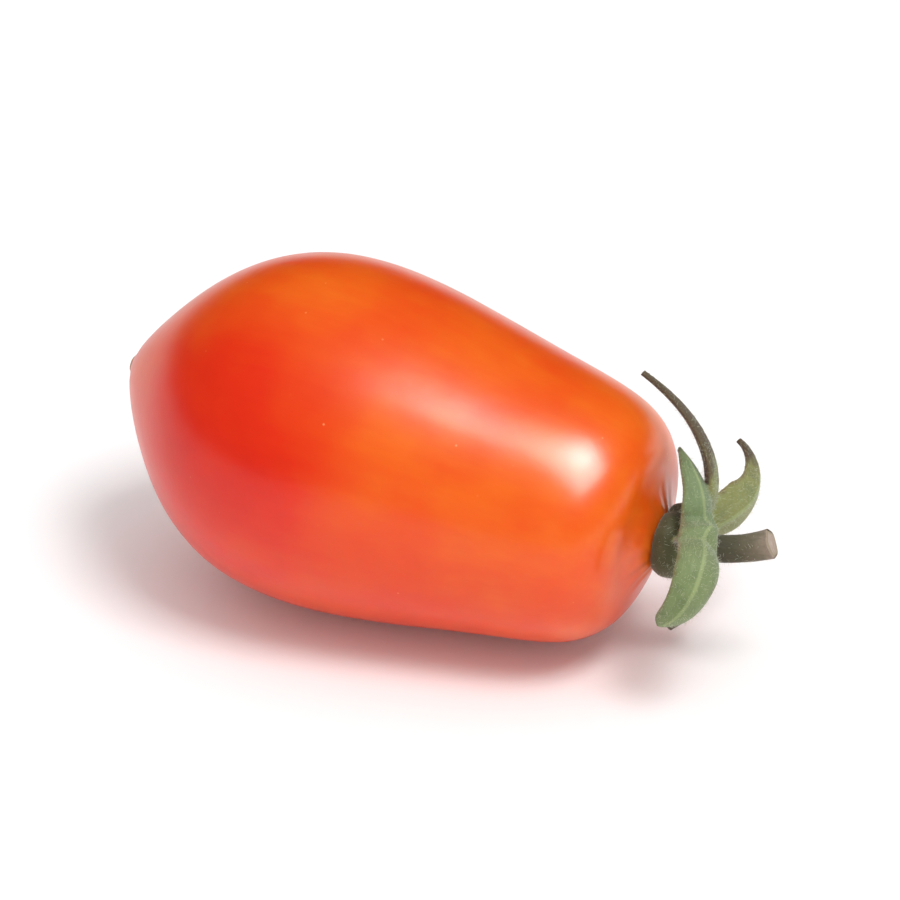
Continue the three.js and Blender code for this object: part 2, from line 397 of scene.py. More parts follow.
def new_tree(name, sizes):
    """A tree with a geometry and named values as its inputs, and the values' fields."""
    tree = bpy.data.node_groups.new(name, "GeometryNodeTree")
    tree.interface.new_socket("Geometry", in_out="INPUT", socket_type="NodeSocketGeometry")
    tree.interface.new_socket("Geometry", in_out="OUTPUT", socket_type="NodeSocketGeometry")
    for title, value in sizes.items():
        kind = "NodeSocketMaterial" if isinstance(value, bpy.types.Material) else "NodeSocketFloat"
        if isinstance(value, int):
            kind = "NodeSocketInt"
        tree.interface.new_socket(title, in_out="INPUT", socket_type=kind)
    given = add(tree, "NodeGroupInput")
    return tree, given, {title: Field(tree, given.outputs[title]) for title in sizes}


def finish_tree(tree, geometry, material):
    """Ends a tree with real geometry in its material."""
    real = add(tree, "GeometryNodeRealizeInstances", {"Geometry": geometry})
    painted = add(tree, "GeometryNodeSetMaterial", {"Geometry": real.outputs[0], "Material": material})
    result = add(tree, "NodeGroupOutput")
    tree.links.new(painted.outputs[0], result.inputs["Geometry"])


def grown(name, tree, sizes, start=None):
    """The mesh that a tree makes from a starting mesh, or from nothing, with these sizes."""
    base = bpy.data.objects.new(name, start or bpy.data.meshes.new(name))
    bpy.context.scene.collection.objects.link(base)
    modifier = base.modifiers.new("shape", "NODES")
    modifier.node_group = tree
    for item in tree.interface.items_tree:
        if item.in_out == "INPUT" and item.name in sizes:
            modifier[item.identifier] = sizes[item.name]
    seen = base.evaluated_get(bpy.context.evaluated_depsgraph_get())
    mesh = bpy.data.meshes.new_from_object(seen)
    bpy.data.objects.remove(base)
    mesh.name = name
    return mesh


# Laying down


def resting_place():
    """How the fruit lies: turned by its lean, with its lowest point as deep as the flat spot."""
    turn = Matrix.Rotation(math.radians(LEAN), 4, "Y")
    lowest = Vector((0, 0, 0))
    for i in range(UNDERSIDE_STEPS + 1):
        from_pole = math.pi * i / UNDERSIDE_STEPS
        cosine = math.cos(from_pole)
        swelling = sum(share * cosine**power for power, share in enumerate(SWELLING))
        radius = GIRTH * math.sin(from_pole) * swelling * (1 - FLATTENING - THREE_SIDED)
        point = turn @ Vector((HALF_LENGTH * cosine, 0, -radius))
        if point.z < lowest.z:
            lowest = point
    return Matrix.Translation((-lowest.x, 0, -lowest.z - FLAT_DEPTH)) @ turn


PLACE = resting_place()


def lay_down(mesh, flat=False):
    """Moves a mesh from the fruit's own frame to where it lies, in metres. A flat one is cut off level
    with the surface."""
    mesh.transform(Matrix.Scale(MM, 4) @ PLACE)
    if flat:
        for vertex in mesh.vertices:
            vertex.co.z = max(vertex.co.z, 0)
    mesh.update()


def piece(name, mesh):
    """A finished mesh as an object that rides on the part."""
    made = bpy.data.objects.new(name, mesh)
    bpy.context.scene.collection.objects.link(made)
    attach(made, "root")
    return made


# Closed surfaces over rings of points


class Shell:
    """Points and faces over rings, closed at both ends, and a few numbers, the marks, at each point."""

    def __init__(self, rings, marks):
        count, sides = rings.shape[:2]
        first, last = rings[0].mean(axis=0), rings[-1].mean(axis=0)
        self.points = np.concatenate([rings.reshape(-1, 3), [first], [last]])
        start, end, top = count * sides, count * sides + 1, (count - 1) * sides
        self.faces = []
        for j in range(sides):
            k = (j + 1) % sides
            self.faces.append((start, k, j))
            self.faces.append((end, top + j, top + k))
            for low in range(0, top, sides):
                self.faces.append((low + j, low + k, low + sides + k, low + sides + j))
        self.marks = {}
        for name, values in marks.items():
            values = np.broadcast_to(values, (count, sides))
            self.marks[name] = np.concatenate([values.ravel(), [values[0].mean()], [values[-1].mean()]])


def shell_mesh(name, shells, material):
    """One mesh of several shells, with their marks as attributes."""
    points = np.concatenate([shell.points for shell in shells])
    faces = []
    start = 0
    for shell in shells:
        faces += [tuple(start + corner for corner in face) for face in shell.faces]
        start += len(shell.points)
    mesh = bpy.data.meshes.new(name)
    mesh.from_pydata(points.tolist(), [], faces)
    mesh.polygons.foreach_set("use_smooth", [True] * len(mesh.polygons))
    for mark in shells[0].marks:
        attribute = mesh.attributes.new(mark, "FLOAT", "POINT")
        attribute.data.foreach_set("value", np.concatenate([shell.marks[mark] for shell in shells]))
    mesh.materials.append(material)
    return mesh


# Fruit


def fruit_tree(sizes):
    """The skin as a formula of the angle from the stem end and the angle about the axis."""
    tree, _, given = new_tree("tomato skin", sizes)
    ball = add(tree, "GeometryNodeMeshUVSphere", {"Segments": given["Sides"], "Rings": given["Rings"]})
    x, y, z = split(tree, add(tree, "GeometryNodeInputPosition").outputs[0])
    share = calculate("ARCTAN2", calculate("SQRT", x * x + y * y), z) / math.pi
    from_pole = (share - SKIN_CROWDING * calculate("SINE", share * (2 * math.pi))) * math.pi
    angle = calculate("ARCTAN2", y, x)
    cosine = calculate("COSINE", from_pole)

    highest = len(SWELLING) - 1
    swelling = given[f"Swelling {highest}"]
    for power in reversed(range(highest)):
        swelling = swelling * cosine + given[f"Swelling {power}"]
    lobes = (
        1
        - given["Flattening"] * calculate("COSINE", angle * 2)
        + given["Three Sided"] * calculate("COSINE", angle * 3)
    )
    radius = given["Girth"] * calculate("SINE", from_pole) * swelling * lobes

    at_stem = calculate("GREATER_THAN", cosine, 0.0)
    on_nub = radius / given["Nub Radius"]
    folds = 1 + FOLD_DEPTH * on_nub * calculate("COSINE", angle * NUB_FOLDS)
    pleated = hill(on_nub - FINE_FOLD_PLACE, FINE_FOLD_WIDTH)
    pleats = FINE_FOLD_HEIGHT * pleated * calculate("COSINE", angle * FINE_FOLDS)
    nub = given["Nub Height"] * folds * bump(on_nub) + pleats
    dimple = given["Dimple Depth"] * hill(radius - DIMPLE_RADIUS, DIMPLE_WIDTH)
    scar = given["Scar Height"] * bump(radius / SCAR_RADIUS)
    rim = SCAR_RIM_HEIGHT * (hill(radius - SCAR_RIM_RADIUS, SCAR_RIM_WIDTH) - 1)
    tip = scar + rim * bump(radius / SCAR_RIM_REACH)
    height = given["Half Length"] * cosine + at_stem * (nub - dimple) - (1 - at_stem) * tip

    place = joined(tree, height, -radius * calculate("SINE", angle), radius * calculate("COSINE", angle))
    shaped = add(tree, "GeometryNodeSetPosition", {"Geometry": ball.outputs["Mesh"], "Position": place})
    position = add(tree, "GeometryNodeInputPosition").outputs[0]
    dents = given["Inset"] + given["Unevenness"] * noise(tree, position, UNEVENNESS_SIZE, detail=1.0)
    inward = add(tree, "ShaderNodeVectorMath", operation="SCALE")
    tree.links.new(add(tree, "GeometryNodeInputNormal").outputs[0], inward.inputs[0])
    feed(tree, -dents, inward.inputs["Scale"])
    dented = add(
        tree, "GeometryNodeSetPosition", {"Geometry": shaped.outputs[0], "Offset": inward.outputs[0]}
    )
    smooth = add(tree, "GeometryNodeSetShadeSmooth", {"Geometry": dented.outputs[0]})
    finish_tree(tree, smooth.outputs[0], given["Material"])
    return tree


def make_fruit(material):
    sizes = {
        "Sides": SKIN_SIDES,
        "Rings": SKIN_RINGS,
        "Half Length": HALF_LENGTH,
        "Girth": GIRTH,
        "Flattening": FLATTENING,
        "Three Sided": THREE_SIDED,
        "Nub Height": NUB_HEIGHT,
        "Nub Radius": NUB_RADIUS,
        "Dimple Depth": DIMPLE_DEPTH,
        "Scar Height": SCAR_HEIGHT,
        "Inset": SKIN_INSET,
        "Unevenness": UNEVENNESS,
        "Material": material,
    }
    for power, share in enumerate(SWELLING):
        sizes[f"Swelling {power}"] = float(share)
    mesh = grown("fruit_skin", fruit_tree(sizes), sizes)
    lay_down(mesh, flat=True)
    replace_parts(piece("fruit_skin", mesh), "fruit")


# Calyx


def outward(angle):
    """Direction square to the axis, at an angle in degrees from straight up towards the front."""
    turn = math.radians(angle)
    return np.array([0, -math.sin(turn), math.cos(turn)])


def turned(vector, axis, angle):
    """A vector turned about an axis, by degrees."""
    return np.array(Matrix.Rotation(math.radians(angle), 3, Vector(axis)) @ Vector(vector))


def along(values, share):
    """Value of evenly spaced steps at a share of the length."""
    return np.interp(share, np.linspace(0, 1, len(values)), values)


def sepal_line(sepal):
    """Middle line, side and back of a sepal at each step, as in the part's source: it grows from the hub
    in short steps and turns a little at each, by curl towards the fruit, by sweep sideways and by twist."""
    spoke = outward(sepal["around"])
    axis = np.array([1, 0, 0])
    point = spoke * SEPAL_ROOT_RADIUS + axis * (HALF_LENGTH + SEPAL_ROOT_HEIGHT)
    lift = math.radians(sepal["lift"])
    forward = spoke * math.cos(lift) + axis * math.sin(lift)
    back = axis * math.cos(lift) - spoke * math.sin(lift)
    back = turned(back, forward, sepal["roll"])
    side = np.cross(back, forward)
    points, sides, backs = [], [], []
    for i in range(SEPAL_STEPS + 1):
        points.append(point)
        sides.append(side)
        backs.append(back)
        share = i / SEPAL_STEPS
        curl = along(sepal["curl"], share) / SEPAL_STEPS
        forward, back = turned(forward, side, curl), turned(back, side, curl)
        forward = turned(forward, back, along(sepal["sweep"], share) / SEPAL_STEPS)
        back = turned(back, forward, along(sepal["twist"], share) / SEPAL_STEPS)
        side = np.cross(back, forward)
        point = point + forward * sepal["length"] / SEPAL_STEPS
    return np.array(points), np.array(sides), np.array(backs)


def finer(values, shares):
    """Smooth curve through evenly spaced points."""
    place = np.clip(shares, 0, 1) * (len(values) - 1)
    low = np.minimum(place.astype(int), len(values) - 2)
    slopes = np.gradient(values, axis=0)
    t = (place - low)[:, None]
    before, after = values[low], values[low + 1]
    return (
        before * (2 * t**3 - 3 * t**2 + 1)
        + after * (3 * t**2 - 2 * t**3)
        + slopes[low] * (t**3 - 2 * t**2 + t)
        + slopes[low + 1] * (t**3 - t**2)
    )


def sepal_half_width(sepal, share):
    """Half the width: swells from the root to the widest place and tapers to the tip."""
    base, widest = sepal["base"], sepal["widest"]
    rising = base + (1 - base) * np.sin(np.pi / 2 * np.minimum(share / widest, 1))
    falling = np.clip(1 - (share - widest) / (1 - widest), 0, 1) ** sepal["taper"]
    shape = np.where(share < widest, rising, falling)
    shape = shape * (1 - ROOT_NARROWING * np.clip(1 - share / ROOT_NARROW_SHARE, 0, 1) ** 2)
    return np.maximum(sepal["width"] / 2 * shape, SEPAL_TIP_HALF_WIDTH)


def bend_to_side(middles, sides):
    """How sharply a middle line bends towards its side, in radians a millimetre."""
    steps = np.gradient(middles, axis=0)
    lengths = np.linalg.norm(steps, axis=1)
    turning = np.gradient(steps / lengths[:, None], axis=0)
    return (turning * sides).sum(axis=1) / lengths


def around_section(count):
    """Places of the points round a leaf's section, for so many rings: from -1 at one edge to 1 at the
    other, and from -1 on the inner side to 1 on the outer one."""
    turn = -np.linspace(0, 2 * np.pi, SEPAL_SIDES, endpoint=False)[None, :]
    rows = np.ones((count, 1))
    return np.cos(turn) * rows, np.sin(turn) * rows


def sepal_rings(sepal):
    """Points round a sepal's section, from the root to the tip."""
    shares = np.linspace(0, 1, SEPAL_FINE_STEPS + 1)
    middles, sides, backs = (finer(values, shares) for values in sepal_line(sepal))
    share = shares[:, None]
    half_width = sepal_half_width(sepal, share)
    across, outer = around_section(len(shares))
    bend = bend_to_side(middles, sides)[:, None] * np.sign(across)
    reach = np.minimum(half_width, TIGHTEST_BEND / np.maximum(bend, STRAIGHT))

    root = np.clip(1 - share / ROOT_SHARE, 0, 1) ** 2
    thickness = SEPAL_THICKNESS + (SEPAL_TIP_THICKNESS - SEPAL_THICKNESS) * share
    thickness = thickness * (1 + ROOT_THICKENING * root)
    edge = SEPAL_EDGE_THICKNESS / 2 * np.sign(outer)
    through = edge * np.sqrt(np.abs(outer)) + (thickness / 2) * outer
    outside = np.clip(outer * EDGE_BLEND, 0, 1)
    inside = np.clip(-outer * EDGE_BLEND, 0, 1)
    midrib = np.exp(-((across / MIDRIB_WIDTH) ** 2)) * (1 - share) ** 0.5
    rays = np.cos(2 * np.pi * (VEINS * share - VEIN_SLANT * np.abs(across))) ** VEIN_SHARPNESS
    veins = rays * (1 - across**2) * (1 - root)
    through = through + outside * (MIDRIB_HEIGHT * midrib + VEIN_HEIGHT * veins)
    through = through + inside * MIDRIB_HEIGHT * INNER_MIDRIB * midrib
    phase = 2 * np.pi * EDGE_WAVES * share + EDGE_WAVE_LAG * np.sign(across) + sepal["around"]
    wave = EDGE_WAVE * np.sin(phase)
    through = through + wave * across**2 * (1 - root) * np.minimum(half_width, 1)
    through = through - SEPAL_ARCH * half_width * across**2
    return (
        middles[:, None, :]
        + sides[:, None, :] * (reach * across)[..., None]
        + backs[:, None, :] * through[..., None]
    )


def sepal_shell(sepal):
    rings = sepal_rings(sepal)
    across, outer = around_section(len(rings))
    share = np.linspace(0, 1, len(rings))[:, None]
    marks = {
        "along": share,
        "across": across,
        "outer": outer,
        "tone": np.full_like(share, sepal["tone"]),
        "dryness": np.full_like(share, sepal["dryness"]),
        "hairy": np.clip(share / BALD_SHARE, 0, 1) * np.clip((HAIRLESS_FROM - share) / BALD_SHARE, 0, 1),
    }
    return Shell(rings, marks)


def bridge_shell(first, second):
    """Leaf between two sepals that run on into each other, a little way above the hub."""
    ring = round(BRIDGE_SHARE * SEPAL_FINE_STEPS)
    end, start = sepal_rings(first)[ring], sepal_rings(second)[ring]
    mirrored = start[(SEPAL_SIDES // 2 - np.arange(SEPAL_SIDES)) % SEPAL_SIDES]
    share = np.linspace(1, 0, BRIDGE_STEPS + 1)[:, None]
    rings = end + (mirrored - end) * share[..., None]
    across, outer = around_section(len(rings))
    innermost, outermost = SEPAL_SIDES // 4, SEPAL_SIDES * 3 // 4
    thickness = rings[:, outermost] - rings[:, innermost]
    raised = BRIDGE_RISE * np.sin(np.pi * share) * np.clip(outer, 0, 1)
    rings = rings + thickness[:, None, :] * raised[..., None]
    marks = {
        "along": np.full_like(share, BRIDGE_SHARE),
        "across": across,
        "outer": outer,
        "tone": first["tone"] + (second["tone"] - first["tone"]) * share,
        "dryness": np.zeros_like(share),
        "hairy": np.ones_like(share),
    }
    return Shell(rings, marks)


def hub_shell():
    """The disc in the middle, swollen towards each sepal, from the pole to the stalk. Up to the collar it
    takes the inner sides' near-black colour, which is painted shade for the gap between the fruit and the
    sepals."""
    profile = np.array(HUB_FOOT + HUB_PROFILE + HUB_COLLAR)
    lengths = np.concatenate([[0], np.cumsum(np.linalg.norm(np.diff(profile, axis=0), axis=1))])
    steps = np.linspace(0, lengths[-1], HUB_STEPS)
    radii = np.interp(steps, lengths, profile[:, 0])
    heights = np.interp(steps, lengths, profile[:, 1])
    angles = np.linspace(0, 360, HUB_SIDES, endpoint=False)
    lobes = np.zeros(HUB_SIDES)
    for sepal in SEPALS.values():
        away = (angles - sepal["around"] + 180) % 360 - 180
        lobes = np.maximum(lobes, np.exp(-((away / HUB_LOBE_WIDTH) ** 2)))
    rings = np.zeros((HUB_STEPS, HUB_SIDES, 3))
    swell = np.sin(np.pi * np.linspace(0, 1, HUB_STEPS)) ** HUB_LOBE_POWER
    for i in range(HUB_STEPS):
        radius = radii[i] - HUB_LOBE * swell[i] * (1 - lobes)
        rings[i] = np.array([outward(angle) for angle in angles]) * radius[:, None]
        rings[i, :, 0] = HALF_LENGTH + heights[i]
    share = np.linspace(0, 1, HUB_STEPS)[:, None]
    marks = {
        "along": np.full_like(share, 0.02),
        "across": 1 - lobes[None, :] * np.ones_like(share),
        # kept low, so the hub takes the inner sides' painted shade up to the collar
        "outer": share * 1.4 - 1.3,
        "tone": np.full_like(share, 0.5),
        "dryness": np.full_like(share, 0.2),
        "hairy": np.clip((share - 0.35) * 4, 0, 1) * np.clip((0.9 - share) * 8, 0, 1),
    }
    return Shell(rings, marks)


def closed_skin(name, parts):
    """One closed mesh over overlapping shells."""
    closed = bpy.data.objects.new(name, parts)
    bpy.context.scene.collection.objects.link(closed)
    modifier = closed.modifiers.new("closed skin", "REMESH")
    modifier.mode = "VOXEL"
    modifier.voxel_size = LEAF_VOXEL
    modifier.use_smooth_shade = True
    seen = closed.evaluated_get(bpy.context.evaluated_depsgraph_get())
    mesh = bpy.data.meshes.new_from_object(seen)
    bpy.data.objects.remove(closed)
    return mesh


def soften_joints(mesh):
    """Moves each point towards its neighbours, again and again near the hub. Returns the points."""
    count = len(mesh.vertices)
    points = np.empty(count * 3)
    mesh.vertices.foreach_get("co", points)
    points = points.reshape(-1, 3)
    ends = np.empty(len(mesh.edges) * 2, dtype=int)
    mesh.edges.foreach_get("vertices", ends)
    first, second = ends.reshape(-1, 2).T
    neighbours = np.bincount(first, minlength=count) + np.bincount(second, minlength=count)
    middle = np.array([HALF_LENGTH + SEPAL_ROOT_HEIGHT, 0, 0])
    distance = np.linalg.norm(points - middle, axis=1)
    near_hub = np.clip(JOIN_FULL - distance / JOIN_REACH, 0, 1)[:, None]
    for i in range(JOIN_SMOOTHING):
        total = np.zeros_like(points)
        np.add.at(total, first, points[second])
        np.add.at(total, second, points[first])
        share = SMOOTHING_SHARE if i < SKIN_SMOOTHING else SMOOTHING_SHARE * near_hub
        points = points + share * (total / neighbours[:, None] - points)
    mesh.vertices.foreach_set("co", points.ravel())
    return points


def pass_on_marks(mesh, points, shells):
    """Gives each point of the mesh the marks of the shells' nearest points."""
    sources = np.concatenate([shell.points for shell in shells])
    tree = KDTree(len(sources))
    for i, source in enumerate(sources):
        tree.insert(source, i)
    tree.balance()
    nearest = [tree.find_n(point, NEAREST_SOURCES) for point in points]
    places = np.array([[found[1] for found in row] for row in nearest])
    distances = np.array([[found[2] for found in row] for row in nearest])
    weights = 1 / (distances + SOURCE_BLUR) ** 2
    weights = weights / weights.sum(axis=1)[:, None]
    for title in shells[0].marks:
        values = np.concatenate([shell.marks[title] for shell in shells])
        attribute = mesh.attributes.new(title, "FLOAT", "POINT")
        attribute.data.foreach_set("value", (values[places] * weights).sum(axis=1))


def grown_together(name, shells, material):
    """One closed skin over overlapping shells, with soft joints near the hub and the shells' marks."""
    mesh = closed_skin(name, shell_mesh(name, shells, material))
    points = soften_joints(mesh)
    pass_on_marks(mesh, points, shells)
    mesh.name = name
    return mesh


# Stalk


def stalk_shell():
    """Tapering round stem with low ridges, ending in a slightly hollow cut."""
    start, bend, end = (np.array([HALF_LENGTH + height, y, z]) for height, y, z in STALK_LINE)
    start = start - np.array([STALK_ROOT_DROP, 0, 0])
    share = np.linspace(0, 1, STALK_FINE_STEPS + 1)[:, None]
    middles = start * (1 - share) ** 2 + bend * 2 * share * (1 - share) + end * share**2
    tangents = np.gradient(middles, axis=0)
    tangents /= np.linalg.norm(tangents, axis=1)[:, None]
    first = np.cross(tangents, [0, 1, 0])
    first /= np.linalg.norm(first, axis=1)[:, None]
    second = np.cross(tangents, first)
    turn = np.linspace(0, 2 * np.pi, STALK_SIDES, endpoint=False)
    direction = (
        first[:, None, :] * np.cos(turn)[None, :, None] + second[:, None, :] * np.sin(turn)[None, :, None]
    )
    ridges = STALK_RIDGE_HEIGHT * np.cos(STALK_RIDGES * turn + STALK_RIDGE_TURN)[None, :]
    radii = along(STALK_RADII, share) - STALK_RIDGE_HEIGHT + ridges
    sides = middles[:, None, :] + direction * radii[..., None]
    cut_share = np.linspace(1, 0, CUT_RINGS + 1)[:-1]
    into_rim = np.clip(cut_share - (1 - CUT_RIM_SHARE), 0, 1) / CUT_RIM_SHARE
    rounding = CUT_RIM * (1 - np.sqrt(np.clip(1 - into_rim**2, 0, 1)))
    depth = rounding + CUT_HOLLOW * (1 - cut_share) ** 0.5
    cut_radii = radii[-1][None, :] * (cut_share - CUT_INSET)[:, None]
    cut = middles[-1] + direction[-1][None] * cut_radii[..., None] - tangents[-1] * depth[:, None, None]
    rings = np.concatenate([sides[:-1], sides[-1:] - tangents[-1] * CUT_RIM, cut])
    count = len(sides)
    marks = {
        "along": np.concatenate([share[:, 0], np.ones(CUT_RINGS)])[:, None],
        "on_cut": np.concatenate([np.zeros(count), np.ones(CUT_RINGS)])[:, None],
        "from_middle": np.concatenate([np.ones(count), cut_share])[:, None],
        "hairy": np.concatenate([np.clip((0.95 - share[:, 0]) * 10, 0, 1), np.zeros(CUT_RINGS)])[:, None],
    }
    return Shell(rings, marks)


# Hairs


def hair_tree(sizes):
    """Short tapering hairs over the surface, more where it is marked as hairy."""
    tree, start, given = new_tree("hairs", sizes)
    hairy = add(tree, "GeometryNodeInputNamedAttribute", {"Name": "hairy"}, data_type="FLOAT")
    density = given["Per Square Metre"] * Field(tree, hairy.outputs["Attribute"])
    roots = add(
        tree,
        "GeometryNodeDistributePointsOnFaces",
        {"Mesh": start.outputs["Geometry"], "Density": density, "Seed": given["Seed"]},
    )
    strand = add(
        tree,
        "GeometryNodeCurveQuadraticBezier",
        {
            "Resolution": HAIR_STEPS,
            "Start": (0, 0, 0),
            "Middle": joined(tree, 0.0, 0.0, given["Length"] * HAIR_KNEE),
            "End": joined(tree, given["Length"] * HAIR_BEND, 0.0, given["Length"]),
        },
    )
    to_tip = Field(tree, add(tree, "GeometryNodeSplineParameter").outputs["Factor"])
    radius = given["Thickness"] / 2
    profile = add(tree, "GeometryNodeCurvePrimitiveCircle", {"Resolution": HAIR_SIDES, "Radius": radius})
    hair = add(
        tree,
        "GeometryNodeCurveToMesh",
        {
            "Curve": strand.outputs[0],
            "Profile Curve": profile.outputs[0],
            "Scale": 1 - to_tip * HAIR_TAPER,
            "Fill Caps": True,
        },
    )
    lean = calculate("RADIANS", given["Lean"])
    tilt = add(tree, "FunctionNodeRandomValue", data_type="FLOAT_VECTOR")
    feed(tree, joined(tree, -lean, -lean, -math.pi), tilt.inputs[0])
    feed(tree, joined(tree, lean, lean, math.pi), tilt.inputs[1])
    turn = add(tree, "FunctionNodeEulerToRotation", {"Euler": tilt.outputs[0]})
    upright = add(
        tree, "FunctionNodeAlignRotationToVector", {"Vector": roots.outputs["Normal"]}, axis="Z"
    )
    rotation = add(
        tree,
        "FunctionNodeRotateRotation",
        {"Rotation": upright.outputs[0], "Rotate By": turn.outputs[0]},
        rotation_space="LOCAL",
    )
    scale = add(tree, "FunctionNodeRandomValue", data_type="FLOAT")
    feed(tree, SHORTEST_HAIR, scale.inputs[2])
    feed(tree, 1.0, scale.inputs[3])
    hairs = add(
        tree,
        "GeometryNodeInstanceOnPoints",
        {
            "Points": roots.outputs["Points"],
            "Instance": hair.outputs[0],
            "Rotation": rotation.outputs[0],
            "Scale": scale.outputs[1],
        },
    )
    finish_tree(tree, hairs.outputs[0], given["Material"])
    return tree


def make_hairs(name, surface, per_mm2, seed, material):
    sizes = {
        "Per Square Metre": per_mm2 / MM**2,
        "Length": HAIR_LENGTH * MM,
        "Thickness": HAIR_THICKNESS * MM,
        "Lean": float(HAIR_LEAN),
        "Seed": seed,
        "Material": material,
    }
    piece(name, grown(name, hair_tree(sizes), sizes, surface.copy()))


# Materials


def new_material(name):
    """A material with a shader, and the fruit's own coordinates in millimetres."""
    material = bpy.data.materials.new(name)
    material.use_nodes = True
    tree = material.node_tree
    shader = tree.nodes["Principled BSDF"]
    coordinates = add(tree, "ShaderNodeTexCoord")
    back = PLACE.inverted()
    own = add(
        tree,
        "ShaderNodeMapping",
        {
            "Vector": coordinates.outputs["Object"],
            "Location": back.to_translation(),
            "Rotation": back.to_euler(),
            "Scale": (1 / MM, 1 / MM, 1 / MM),
        },
    )
    return material, tree, shader, own.outputs[0]


def mixed(tree, share, low, high):
    """Colour between two colours by a share."""
    node = add(tree, "ShaderNodeMix", data_type="RGBA")
    for index, value in ((0, share), (6, low), (7, high)):
        feed(tree, value, node.inputs[index])
    return node.outputs[2]


def ramp(tree, share, stops):
    """Colour that runs through the stops."""
    node = add(tree, "ShaderNodeValToRGB", {"Fac": share})
    elements = node.color_ramp.elements
    while len(elements) < len(stops):
        elements.new(0.5)
    for element, (position, colour) in zip(elements, stops):
        element.position = position
        element.color = colour
    return node.outputs["Color"]


def mark(tree, name):
    """A number kept at each point of the mesh."""
    return Field(tree, add(tree, "ShaderNodeAttribute", attribute_name=name).outputs["Fac"])


def relief(tree, shader, height, distance):
    """Bump from a height field, where 1 stands for a distance in millimetres."""
    node = add(tree, "ShaderNodeBump", {"Height": height, "Distance": distance * MM, "Strength": 1.0})
    tree.links.new(node.outputs[0], shader.inputs["Normal"])


def length_of(tree, place, point):
    """Distance from a point."""
    node = add(tree, "ShaderNodeVectorMath", operation="DISTANCE")
    feed(tree, place, node.inputs[0])
    feed(tree, point, node.inputs[1])
    return Field(tree, node.outputs["Value"])


def set_shader(shader, **values):
    for name, value in values.items():
        shader.inputs[name.replace("_", " ").title().replace("Ior", "IOR")].default_value = value


def skin_material():
    """Waxy orange-red skin: redder at the blossom half, more orange on top and at the shoulder."""
    material, tree, shader, place = new_material("tomato skin")
    x, y, z = split(tree, place)
    from_axis = calculate("SQRT", y * y + z * z)
    clouds = noise(tree, place, CLOUD_SIZE, detail=2.5, roughness=0.55)
    drawn_out = joined(tree, x * STREAK_SQUEEZE, y, z)
    streaks = noise(tree, drawn_out, STREAK_SIZE, detail=3.0, roughness=0.6)
    cheek = ranged(length_of(tree, place, RED_CHEEK), RED_CHEEK_RADIUS, RED_CHEEK_CORE)
    paleness = 0.66 + x * 0.004 + z * 0.012 - cheek * 0.42 + (clouds - 0.5) * 0.55 + (streaks - 0.5) * 0.2
    colour = ramp(tree, paleness, SKIN_COLOURS)

    spots = add(
        tree, "ShaderNodeTexVoronoi", {"Vector": place, "Scale": 1 / SPECK_SPACING, "Randomness": 1.0}
    )
    own_number = add(tree, "ShaderNodeSeparateColor", {"Color": spots.outputs["Color"]}).outputs[0]
    speck = ranged(Field(tree, spots.outputs["Distance"]), *SPECK_RADII, 1.0, 0.0)
    speck = speck * ranged(Field(tree, own_number), 0.55, 0.9)
    colour = mixed(tree, speck * 0.45, colour, SPECK_COLOUR)

    at_stem = ranged(x, HALF_LENGTH - 3, HALF_LENGTH)
    round_nub = at_stem * ranged(from_axis, NUB_RADIUS, NUB_RADIUS - 1.4)
    colour = mixed(tree, round_nub * 0.4, colour, NUB_COLOUR)
    at_tip = ranged(x, 3 - HALF_LENGTH, 1 - HALF_LENGTH)
    ragged = from_axis + (streaks - 0.5) * 0.8 + (noise(tree, place, 0.3) - 0.5) * 0.3
    cork = at_tip * ranged(ragged, *reversed(CORK_RADII))
    cork_colour = mixed(tree, ranged(ragged, *PIT_RADII), CORK_PIT_COLOUR, CORK_COLOUR)
    colour = mixed(tree, cork * 0.9, colour, cork_colour)
    tree.links.new(colour, shader.inputs["Base Color"])

    grain = noise(tree, place, GRAIN_SIZE, detail=1.5)
    pores = noise(tree, place, PORE_SIZE, detail=1.0)
    height = grain * 0.35 + pores + streaks * 0.4 + speck * 0.5 - cork * 2 * grain
    relief(tree, shader, height, SKIN_RELIEF)
    roughness = SKIN_ROUGHNESS + (clouds - 0.5) * 0.05 + cork * 0.4 + speck * 0.1
    feed(tree, roughness, shader.inputs["Roughness"])
    set_shader(
        shader,
        subsurface_weight=0.22,
        subsurface_radius=(1.0, 0.22, 0.08),
        subsurface_scale=2.6 * MM,
        ior=1.4,
        coat_weight=0.2,
        coat_roughness=0.22,
    )
    return material


